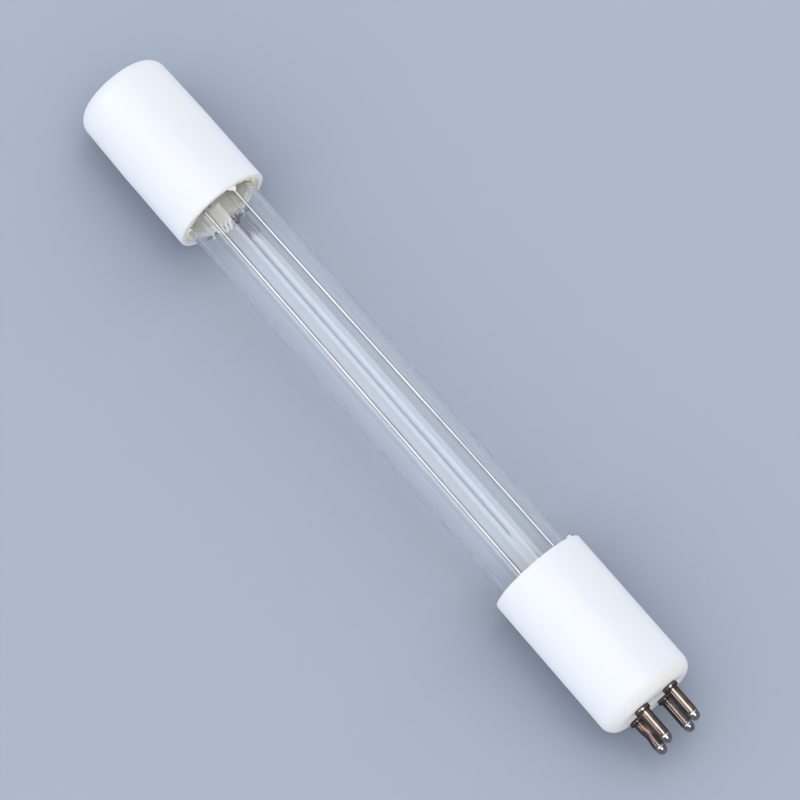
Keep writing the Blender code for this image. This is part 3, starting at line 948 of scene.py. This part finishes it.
def makeWindingTree(inputs):
    graph, given = newTree("windStrand", inputs)
    even = evenPath(graph, given)
    along = graph.add("GeometryNodeSplineParameter")["Length"]
    turn = along * (2 * pi) / given["Wind Pitch"]
    tangent = graph.add("GeometryNodeInputTangent")["Tangent"]
    normal = graph.add("GeometryNodeInputNormal")["Normal"]
    sideways = vectorMath(graph, "CROSS_PRODUCT", {0: tangent, 1: normal})
    first = vectorMath(graph, "SCALE", {0: normal, "Scale": turn.math("COSINE") * given["Wind Radius"]})
    second = vectorMath(graph, "SCALE", {0: sideways, "Scale": turn.math("SINE") * given["Wind Radius"]})
    offset = vectorMath(graph, "ADD", {0: first, 1: second})
    wound = graph.add("GeometryNodeSetPosition", {"Geometry": even, "Offset": offset})["Geometry"]
    closeTree(graph, sweep(graph, wound, 5, given["Strand Radius"]), strandMetal)
    return graph


def makeCoatTree(inputs):
    graph, given = newTree("coatCoil", inputs)
    coat = sweep(graph, evenPath(graph, given), 12, given["Coat Radius"])
    lumps = graph.add("ShaderNodeTexNoise", {"Scale": 1500.0, "Detail": 3.0})["Fac"]
    normal = graph.add("GeometryNodeInputNormal")["Normal"]
    amount = (lumps - 0.5) * given["Lumps"]
    offset = vectorMath(graph, "SCALE", {0: normal, "Scale": amount})
    rough = graph.add("GeometryNodeSetPosition", {"Geometry": coat, "Offset": offset})["Geometry"]
    closeTree(graph, rough, emitterCoat)
    return graph


def makeFilaments():
    s = filamentSizes
    windInputs = {
        "Points": 2600,
        "Wind Pitch": s["windPitch"],
        "Wind Radius": s["windRadius"],
        "Strand Radius": s["strandRadius"],
    }
    coatInputs = {
        "Points": 420,
        "Coat Radius": s["coatRadius"],
        "Lumps": s["coatLumps"],
    }
    winding = makeWindingTree(windInputs)
    coating = makeCoatTree(coatInputs)
    for name, end in ends.items():
        points = coilPath(end)
        pieceName = "filamentStrand" + name.title()
        sweptPiece(pieceName, points, winding, windInputs, 60, "coated_tungsten", "filament_" + name)
        coilOnly = points[2:-2]
        first = int(len(coilOnly) * s["coatStart"])
        last = int(len(coilOnly) * s["coatStop"])
        pieceName = "filamentCoat" + name.title()
        sweptPiece(pieceName, coilOnly[first:last], coating, coatInputs, 70, "coated_tungsten")


makeFilaments()
print("filaments made")


# Contact pins

pinSizes = {
    "reach": 8.0 * mm,
    "solderHeight": 0.45 * mm,
    "flangeLow": 0.05 * mm,
    "flangeThickness": 0.80 * mm,
    "flangeRadius": 1.52 * mm,
    "radius": 1.09 * mm,
    "boreRadius": 0.55 * mm,
    "nubRadius": 0.97 * mm,
    "nubTip": 0.76 * mm,
    "nubLength": 1.15 * mm,
    "nubStart": 0.30 * mm,
    "nubFillet": 0.10 * mm,
    "shoulderSet": 0.22 * mm,
    "shoulderRound": 0.24 * mm,
    "flangeRound": 0.2 * mm,
    "rootRound": 0.16 * mm,
    "tipDrop": 0.03 * mm,
    "wallInside": 3.5 * mm,
    "flare": 0.6 * mm,
    "flareEdge": 0.1 * mm,
    "sides": 48,
    "dentDepth": 0.27 * mm,
    "dentPlace": 0.56,
    "dentLength": 1.6 * mm,
    "dentBulge": 0.06,
}


def pinProfile():
    s = pinSizes
    tip = s["reach"] - s["solderHeight"]
    shoulder = tip - s["nubLength"]
    r, n, f = s["radius"], s["nubRadius"], s["flangeRadius"]
    high = s["flangeLow"] + s["flangeThickness"]
    low, soft, root = s["flangeLow"], s["flangeRound"], s["rootRound"]
    fillet, bevel, edge = s["nubFillet"], s["shoulderRound"], s["flareEdge"]
    start = shoulder + s["nubStart"]
    turn = acos(s["nubTip"] / n)
    profile = [(tip - s["tipDrop"], s["boreRadius"])]
    # the nub narrows in a curve towards its open end
    for i in range(10):
        a = turn * (1 - i / 9)
        profile.append((start + (tip - start) * sin(a) / sin(turn), n * cos(a)))
    profile += arc(start, n + fillet, fillet, 180, 225, 2)
    profile += arc(shoulder - s["shoulderSet"], r - bevel, bevel, 60, 0, 5)
    profile += spread(profile[-1], (high + soft, r), 26)
    profile += arc(high + root, r + root, root, 180, 270, 4)
    profile += arc(high - soft, f - soft, soft, 90, 0, 5)
    profile += arc(low + soft, f - soft, soft, 0, -90, 5)
    profile += [(low, r), (-s["wallInside"] - edge, r)]
    inside = -s["wallInside"] - s["flare"]
    profile += [(inside + edge, f), (inside, f - soft), (inside + soft, s["boreRadius"])]
    profile += spread(profile[-1], (tip, s["boreRadius"]), 30)
    return profile


def makePinTree(inputs):
    # the same pin at three corners of the pitch
    graph, given = newTree("standPins", inputs)
    values = {"Size X": given["Pitch Z"], "Size Y": given["Pitch Y"], "Vertices X": 2, "Vertices Y": 2}
    grid = graph.add("GeometryNodeMeshGrid", values)["Mesh"]
    values = {0: given["Face"], 1: 0.0, 2: given["Axis Height"]}
    shift = graph.add("ShaderNodeCombineXYZ", values)["Vector"]
    values = {"Geometry": grid, "Translation": shift, "Rotation": (0.0, -pi / 2, 0.0)}
    corners = graph.add("GeometryNodeTransform", values)["Geometry"]
    number = graph.add("GeometryNodeInputIndex")["Index"]
    kept = (number - given["Left Out"]).math("ABSOLUTE").math("GREATER_THAN", 0.5)
    turn = graph.add("ShaderNodeCombineXYZ", {0: number * 1.3})["Vector"]
    values = {"Points": corners, "Selection": kept, "Instance": given["Geometry"], "Rotation": turn}
    placed = graph.add("GeometryNodeInstanceOnPoints", values)["Instances"]
    closeTree(graph, placed, pinPlate)
    return graph


def dentPin(mesh, center):
    s = pinSizes
    high = s["flangeLow"] + s["flangeThickness"]
    shoulder = s["reach"] - s["solderHeight"] - s["nubLength"]
    level = center.x + high + (shoulder - high) * s["dentPlace"]
    for v in mesh.vertices:
        along = (v.co.x - level) / s["dentLength"]
        away = max(0.0, -(v.co.y - center.y) / s["radius"])
        squeeze = exp(-along * along * 2)
        v.co.y += s["dentDepth"] * squeeze * away
        v.co.z += (v.co.z - center.z) * s["dentBulge"] * squeeze


def makePins():
    plain = turned("contactPins", pinProfile(), pinSizes["sides"], Vector((0, 0, 0)), closed=True)
    ob = newObject("contactPins", plain)
    inputs = {
        "Pitch Y": 2 * pinPlaces["upper_left"][0],
        "Pitch Z": 2 * pinPlaces["upper_left"][1],
        "Face": baseFaceX,
        "Axis Height": axisHeight,
        "Left Out": 0,
    }
    runTree(ob, makePinTree(inputs), inputs)
    # the last corner's pin is dented and a piece of its own
    finish(ob, 40, "plated_brass", *("contact_pin_" + corner for corner in list(pinPlaces)[:3]))
    center = onPinLine("lower_right", baseFaceX)
    profile = [(x + baseFaceX, r) for x, r in pinProfile()]
    mesh = turned("dentedPin", profile, pinSizes["sides"], center, closed=True)
    dentPin(mesh, center)
    putPiece("dentedPin", mesh, rubbedPlate, 40, "plated_brass", "contact_pin_lower_right")


solderSizes = {"inset": 0.02 * mm, "stemGap": 0.05 * mm, "unevenness": 0.10 * mm, "sides": 32}


def makeSolder():
    s, pin = solderSizes, pinSizes
    low = baseFaceX + (pin["reach"] - pin["solderHeight"]) - s["inset"]
    high = baseFaceX + pin["reach"]
    bead, stem = pin["nubTip"] - s["inset"], pin["boreRadius"] - s["stemGap"]
    for corner in pinPlaces:
        profile = [(high, 0.0)]
        for i in range(1, 10):
            a = pi / 2 * i / 9
            profile.append((low + (high - low) * cos(a), bead * sin(a)))
        inside = low - pin["nubLength"]
        profile += [(low - s["stemGap"], stem), (inside, stem), (inside, 0.0)]
        mesh = turned("solderBead", profile, s["sides"], onPinLine(corner, baseFaceX))
        for v in mesh.vertices:
            if v.co.x > low:
                v.co.x -= s["unevenness"] * max(0.0, noise.noise(v.co * 1400.0) + 0.3)
        name = "solderBead" + corner.title().replace("_", "")
        putPiece(name, mesh, solderMetal, 60, "solder", "pin_solder_" + corner)


makePins()
makeSolder()
print("pins made")


# Basing cement and mercury

cementSizes = {
    "gap": 0.02 * mm,
    "sides": 180,
    "length": 13.5 * mm,
    "recess": 0.35 * mm,
    "lip": 0.5 * mm,
    "lumps": 0.7 * mm,
    "lumpReach": 1.5 * mm,
    "crumbRough": 0.5,
    "crumbFine": 0.25,
}

# crumbs of cement left on the rims, listed one by one:
# how far from the rim, degrees from the top, radius from the axis, half sizes
cementCrumbs = {
    "farCement": [
        (0.20 * mm, 14.5, 8.40 * mm, (0.66 * mm, 0.46 * mm, 0.34 * mm)),
        (0.05 * mm, 10.0, 8.60 * mm, (0.42 * mm, 0.36 * mm, 0.30 * mm)),
        (-0.30 * mm, -36.0, 9.52 * mm, (0.40 * mm, 0.95 * mm, 0.18 * mm)),
        (-0.60 * mm, -42.0, 9.52 * mm, (0.26 * mm, 0.44 * mm, 0.14 * mm)),
        (-0.20 * mm, -74.0, 8.05 * mm, (0.42 * mm, 0.50 * mm, 0.30 * mm)),
        (-0.25 * mm, 62.0, 8.15 * mm, (0.36 * mm, 0.46 * mm, 0.26 * mm)),
    ],
    "baseCement": [(0.10 * mm, 47.0, 9.25 * mm, (0.36 * mm, 0.60 * mm, 0.34 * mm))],
}


def addCrumbs(mesh, crumbs, rimX, inward):
    rough, fine = cementSizes["crumbRough"], cementSizes["crumbFine"]
    bm = bmesh.new()
    bm.from_mesh(mesh)
    for along, degrees, radius, half in crumbs:
        angle = radians(degrees)
        out = Vector((0.0, sin(angle), cos(angle)))
        middle = lampAxis + out * radius + Vector((rimX - inward * along, 0.0, 0.0))
        turn = Matrix.Rotation(-angle, 4, "X")
        shape = Matrix.Translation(middle) @ turn @ Matrix.Diagonal((*half, 1.0))
        made = bmesh.ops.create_icosphere(bm, subdivisions=4, radius=1.0, matrix=shape)
        for v in made["verts"]:
            away = v.co - middle
            coarse = 1.0 + rough * noise.noise(v.co * 2200.0)
            v.co = middle + away * (coarse + fine * noise.noise(v.co * 5200.0))
    bm.to_mesh(mesh)
    bm.free()


def makeCementRing(name, rimX, inward, node):
    # the front face is lumpy
    s = cementSizes
    inner = tubeSizes["radius"] + s["gap"]
    outer = farCapSizes["boreRadius"] - s["gap"]
    middle = (inner + outer) / 2
    front = rimX + inward * s["recess"]
    back = rimX + inward * (s["recess"] + s["length"])
    lip, slope = front + inward * s["lip"], front + inward * s["lip"] * 0.6
    profile = [(front, outer), (slope, (outer + middle) / 2), (lip, middle)]
    profile += [(slope, (inner + middle) / 2), (front, inner)]
    lineTo(profile, (back, inner), 30)
    profile.append((back, outer))
    profile += spread(profile[-1], (front, outer), 30)
    mesh = turned(name, profile, s["sides"], lampAxis, closed=True)
    for v in mesh.vertices:
        depth = abs(v.co.x - front)
        if depth < s["lumpReach"]:
            push = max(0.0, noise.noise(v.co * 420.0 + Vector((9.0, 2.0, 5.0))) + 0.15)
            v.co.x += inward * s["lumps"] * push * (1.0 - depth / s["lumpReach"])
    addCrumbs(mesh, cementCrumbs[name], rimX, inward)
    putPiece(name, mesh, bakedCement, 60, "basing_cement", node)


def makeMercury():
    low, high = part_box("mercury_drop")
    center = (low + high) / 2
    radius = (high.x - low.x) / 2
    profile = []
    for i in range(17):
        a = pi * i / 16
        profile.append((center.x - radius * cos(a), radius * sin(a)))
    mesh = turned("mercuryDrop", profile, 32, center)
    putPiece("mercuryDrop", mesh, mercuryMetal, 80, "mercury", "mercury_drop")


makeCementRing("farCement", farRimX, -1.0, "far_cement")
makeCementRing("baseCement", baseRimX, 1.0, "base_cement")
makeMercury()
for name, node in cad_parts.items():
    if name.startswith("foil_"):
        node.data.materials.clear()
        node.data.materials.append(foilMetal)
print("cement and mercury made")


# Floor, light and camera

studio = {
    "floorColor": (0.428, 0.480, 0.585, 1.0),
    # painted contact shadow in the floor's colour: its tone, how far it reaches and its limits
    "paintedShadowColor": (0.292, 0.326, 0.400, 1.0),
    "paintedShadowReach": 45 * mm,
    "paintedShadowLimits": (0.545, 0.965),
    "tubeMargin": 9 * mm,
    "tubeFade": 12 * mm,
    "tubeClear": 0.70,
    "wallTone": (1.30, 1.36, 1.44, 1.0),
    "darkTone": (0.30, 0.33, 0.37, 1.0),
    "skyColor": (0.955, 0.985, 1.0, 1.0),
    "skyLow": 0.60,
    "skyRim": 1.53,
    "skyLean": 0.10,
    "wallBeyond": -0.14,
    "wallLow": 0.09,
    "wallStep": 0.08,
    "keyRadiance": 1.28,
    "keySide": 1.6,
    "keyHeight": 2.4,
    "panelHeight": 1.10,
}

# panels for the photo's unknown room, set by comparing the glass with the photo:
# span across the lamp, span along it, radiance
panels = {
    "wideRight": ((-2.85, -0.425), (-1.20, -0.155), 3.8),
    "brightRight": ((-0.425, -0.188), (-0.62, 0.60), 6.8),
    "seam": ((-0.188, -0.050), (-0.163, 0.60), 6.0),
    "brightLeft": ((-0.050, 0.072), (-0.342, 0.60), 5.2),
    "peakLeft": ((0.072, 0.222), (-0.345, 0.60), 7.6),
    "wideLeft": ((0.222, 0.36), (-0.351, -0.155), 4.2),
    "outerLeft": ((0.36, 0.56), (-0.366, -0.155), 4.0),
}
insidePanels = {
    "insideRight": ((-1.52, -0.188), (-0.62, 0.60), 0.55),
    "insideLeft": ((-0.050, 0.82), (-0.342, 0.60), 0.55),
}


def makeFloor():
    s = studio
    bpy.ops.mesh.primitive_plane_add(size=8.0)
    floor = bpy.context.object
    floor.name = "floor"
    mat, graph, shader = newMaterial("paperFloor", roughness=0.9, specular=0.15)
    # painted contact shadow: the paper's colour darkens where the lamp lies close over it, set by
    # comparing with the photo
    values = {"Distance": s["paintedShadowReach"]}
    free = graph.add("ShaderNodeAmbientOcclusion", values, {"samples": 8})["AO"]
    clear = free.remap(*s["paintedShadowLimits"], settings={"interpolation_type": "SMOOTHSTEP"})
    # the painted shadow is weaker under the clear tube, where light comes through
    x = objectPlace(graph)["X"]
    underTube = x.within(farRimX + s["tubeMargin"], baseRimX - s["tubeMargin"], s["tubeFade"])
    clear = clear + (1.0 - clear) * underTube * s["tubeClear"]
    clear.mix(s["paintedShadowColor"], s["floorColor"]).feed(shader, "Base Color")
    floor.data.materials.append(mat)


def makePanel(name, across, along, height, radiance, seenBy):
    light = bpy.data.lights.new(name, "AREA")
    light.shape = "RECTANGLE"
    light.size = along[1] - along[0]
    light.size_y = across[1] - across[0]
    light.energy = radiance * pi * light.size * light.size_y
    ob = bpy.data.objects.new(name, light)
    ob.location = (sum(along) / 2, sum(across) / 2, height)
    ob.visible_camera = False
    ob.visible_diffuse = seenBy == "diffuse"
    ob.visible_glossy = seenBy == "glossy"
    ob.visible_transmission = seenBy == "transmission"
    root.objects.link(ob)


def background(graph, color, strength):
    return graph.add("ShaderNodeBackground", {"Color": color, "Strength": strength})["Background"]


def makeWorld():
    s = studio
    # the sky of a white studio, lighter towards its walls, and the paper's tone where the camera
    # looks past the floor or through glass
    world = bpy.data.worlds.new("studio")
    bpy.context.scene.world = world
    world.use_nodes = True
    tree = world.node_tree
    tree.nodes.clear()
    graph = Graph(tree)
    ray = graph.add("ShaderNodeLightPath")
    way = graph.add("ShaderNodeTexCoord")["Generated"]
    parts = graph.add("ShaderNodeSeparateXYZ", {0: way})
    height = parts["Z"].math("MAXIMUM", 0.0)
    rim = 1.0 - height
    strength = (rim * rim * s["skyRim"] + s["skyLow"]) * (1.0 - parts["Y"] * s["skyLean"])
    soft = background(graph, s["skyColor"], strength)
    # in reflections the walls beyond the far end are light, high up on one side and low on the
    # other, set by comparing with the photo too
    beyond = parts["X"].math("LESS_THAN", s["wallBeyond"])
    left = parts["Y"].math("GREATER_THAN", 0.0)
    high = parts["Z"].math("GREATER_THAN", left * s["wallStep"] + s["wallLow"])
    lit = 1.0 - (left - high).math("ABSOLUTE")
    tone = (beyond * lit).mix(s["darkTone"], s["wallTone"])
    wall = background(graph, tone, 1.0)
    paper = background(graph, s["floorColor"], rim * rim)
    seen = graph.add("ShaderNodeMixShader", {0: ray["Is Glossy Ray"], 1: soft, 2: wall})["Shader"]
    through = ray["Is Camera Ray"].math("MAXIMUM", ray["Is Transmission Ray"])
    whole = graph.add("ShaderNodeMixShader", {0: through, 1: seen, 2: paper})["Shader"]
    graph.add("ShaderNodeOutputWorld", {"Surface": whole})


cameraPlace = {
    "target": (-0.0042, 0.0, 0.009715),
    "azimuth": radians(-47.94),
    "elevation": radians(70.50),
    "roll": radians(8.49),
    "distance": 0.760,
    "lens": 189.39,
    "aim": (0.00398, -0.00211),
}


def makeCamera():
    s = cameraPlace
    a, e = s["azimuth"], s["elevation"]
    away = Vector((cos(e) * cos(a), cos(e) * sin(a), sin(e)))
    right = Vector((-sin(a), cos(a), 0.0))
    up = away.cross(right)
    right, up = right * cos(s["roll"]) + up * sin(s["roll"]), up * cos(s["roll"]) - right * sin(s["roll"])
    target = Vector(s["target"])
    eye = target + away * s["distance"]
    aim = target + right * s["aim"][0] + up * s["aim"][1]
    back = (eye - aim).normalized()
    side = up.cross(back).normalized()
    top = back.cross(side)
    lens = bpy.data.cameras.new("camera")
    lens.sensor_width = 36.0
    lens.lens = s["lens"]
    lens.clip_start = 0.01
    camera = bpy.data.objects.new("camera", lens)
    turn = Matrix((side, top, back)).transposed().to_4x4()
    camera.matrix_world = Matrix.Translation(eye) @ turn
    root.objects.link(camera)
    bpy.context.scene.camera = camera


makeFloor()
for group, seenBy in ((panels, "glossy"), (insidePanels, "transmission")):
    for name, (across, along, radiance) in group.items():
        makePanel(name, across, along, studio["panelHeight"], radiance, seenBy)
span = (-studio["keySide"] / 2, studio["keySide"] / 2)
makePanel("key", span, span, studio["keyHeight"], studio["keyRadiance"], "diffuse")
makeWorld()
makeCamera()
bpy.context.scene.view_settings.view_transform = "Standard"
print("studio made")
